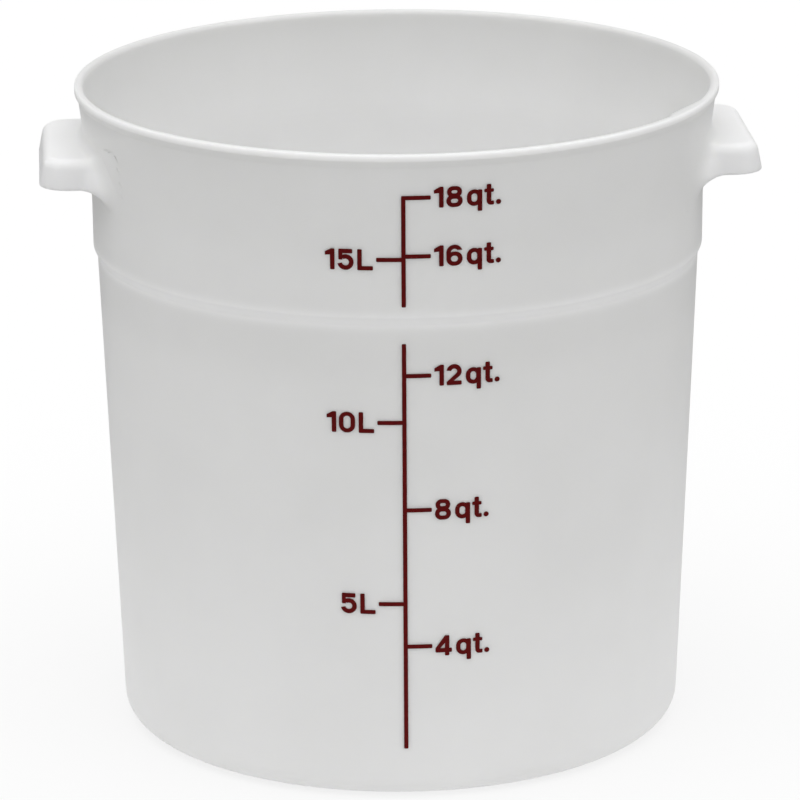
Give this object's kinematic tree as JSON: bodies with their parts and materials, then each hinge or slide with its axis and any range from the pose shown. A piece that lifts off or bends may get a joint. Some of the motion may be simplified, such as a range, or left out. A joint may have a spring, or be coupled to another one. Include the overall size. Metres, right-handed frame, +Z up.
{
  "type": "dough proofing container",
  "caption": "Round open tub of white plastic for proofing and storing dough, with moulded side handles, a stepped wall and a printed volume scale.",
  "frame": {"origin": "middle of the base, on the plane that the tub stands on", "axes": "+Z up along the tub's axis; the printed scale faces -Y and the handles point along -X and +X"},
  "size_m": [0.3426, 0.307, 0.315],
  "materials": {
    "polyethylene": "satin natural white polyethylene, slightly translucent",
    "scale_ink": "dark red printed ink"
  },
  "bodies": {
    "root": {"tub": "polyethylene", "handle_left": "polyethylene", "handle_right": "polyethylene", "scale_line_upper": "scale_ink", "scale_line_lower": "scale_ink", "quart_mark_18": "scale_ink", "quart_mark_16": "scale_ink", "quart_mark_12": "scale_ink", "quart_mark_8": "scale_ink", "quart_mark_4": "scale_ink", "litre_mark_15": "scale_ink", "litre_mark_10": "scale_ink", "litre_mark_5": "scale_ink"}
  },
  "joints": []
}
